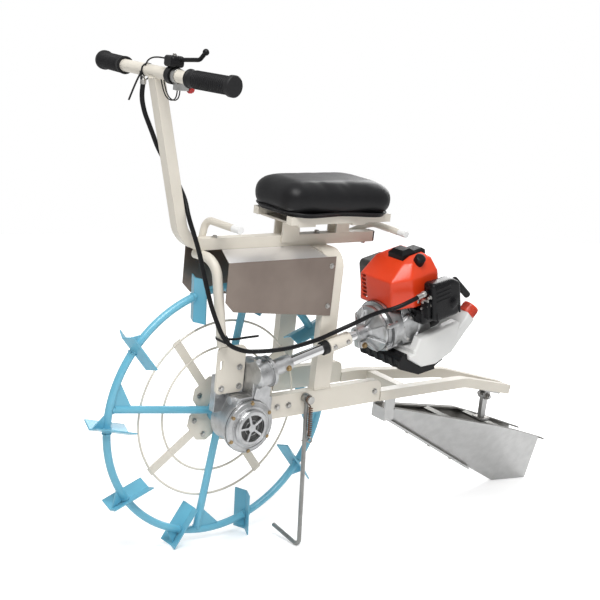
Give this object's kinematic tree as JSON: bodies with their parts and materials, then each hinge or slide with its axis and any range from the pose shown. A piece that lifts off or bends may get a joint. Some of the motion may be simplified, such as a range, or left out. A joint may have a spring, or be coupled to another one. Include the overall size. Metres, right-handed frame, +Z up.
{
  "type": "riding paddy ditcher",
  "caption": "Saddle on a tube frame over a single lugged wheel, with a small engine driving it through a side gearbox and a boat-shaped plough behind; parked on its side stand.",
  "frame": {"origin": "on the ground, under the middle of the parked machine's bounding box", "axes": "+X forward along the machine, +Y to the rider's left, +Z up"},
  "size_m": [1.4394, 0.5034, 1.1016],
  "materials": {
    "wheel_blue": "gloss",
    "frame_ivory": "satin",
    "sheet_steel": "satin",
    "cast_alloy": "satin",
    "bright_tube": "polished",
    "cover_orange": "gloss",
    "black_plastic": "satin",
    "tank_white": "satin",
    "white_plastic": "satin",
    "grip_rubber": "matte",
    "saddle_black": "satin",
    "dark_steel": "satin",
    "bare_steel": "satin",
    "spring_brown": "satin"
  },
  "bodies": {
    "frame": {"air_cleaner": "black_plastic", "beam_plug": "black_plastic", "clutch_housing": "cast_alloy", "cover_vent": "black_plastic", "cross_tube": "frame_ivory", "drive_tube": "bright_tube", "engine_block": "cast_alloy", "engine_cover": "cover_orange", "engine_guard": "black_plastic", "fork_plate": "frame_ivory", "fork_tube": "frame_ivory", "front_lift_cap": "white_plastic", "front_lift_handle": "frame_ivory", "fuel_cap": "cover_orange", "fuel_tank": "tank_white", "gearbox_case": "cast_alloy", "gearbox_cover": "cast_alloy", "grip_left": "grip_rubber", "grip_right": "grip_rubber", "handlebar": "frame_ivory", "hitch_link": "bare_steel", "lower_rail_left": "frame_ivory", "lower_rail_right": "frame_ivory", "main_tube": "frame_ivory", "muffler": "dark_steel", "plough_bracket": "bare_steel", "plough_frame": "dark_steel", "plough_keel": "bare_steel", "plough_shell": "sheet_steel", "plug_cap": "black_plastic", "rear_arch": "frame_ivory", "rear_lift_cap": "white_plastic", "rear_lift_handle": "frame_ivory", "seat_cushion": "saddle_black", "seat_frame": "frame_ivory", "side_guard_left": "sheet_steel", "side_guard_right": "sheet_steel", "stand_pivot": "bare_steel", "starter_handle": "black_plastic", "starter_housing": "black_plastic", "stop_switch": "black_plastic", "tail_bracket": "bare_steel", "tail_tube_left": "frame_ivory", "tail_tube_right": "frame_ivory", "throttle_conduit": "black_plastic", "throttle_lever": "black_plastic", "tube_band": "grip_rubber", "tube_clamp": "frame_ivory"},
    "wheel": {"wheel_rim": "wheel_blue", "wheel_spokes": "wheel_blue", "wheel_axle": "bare_steel", "wheel_guard": "frame_ivory"},
    "stand": {"stand_leg": "dark_steel", "stand_spring": "spring_brown"}
  },
  "joints": [
    {"name": "wheel_spin", "type": "hinge", "parent": "frame", "child": "wheel", "pos_m": [0.38805, -0.11815, 0.3144], "axis": [-0.005, 0.9873, -0.1587], "continuous": true},
    {"name": "stand_fold", "type": "hinge", "parent": "frame", "child": "stand", "pos_m": [0.22085, -0.0193, 0.34228], "axis": [-0.005, 0.9873, -0.1587], "range_deg": [0, 75]}
  ]
}
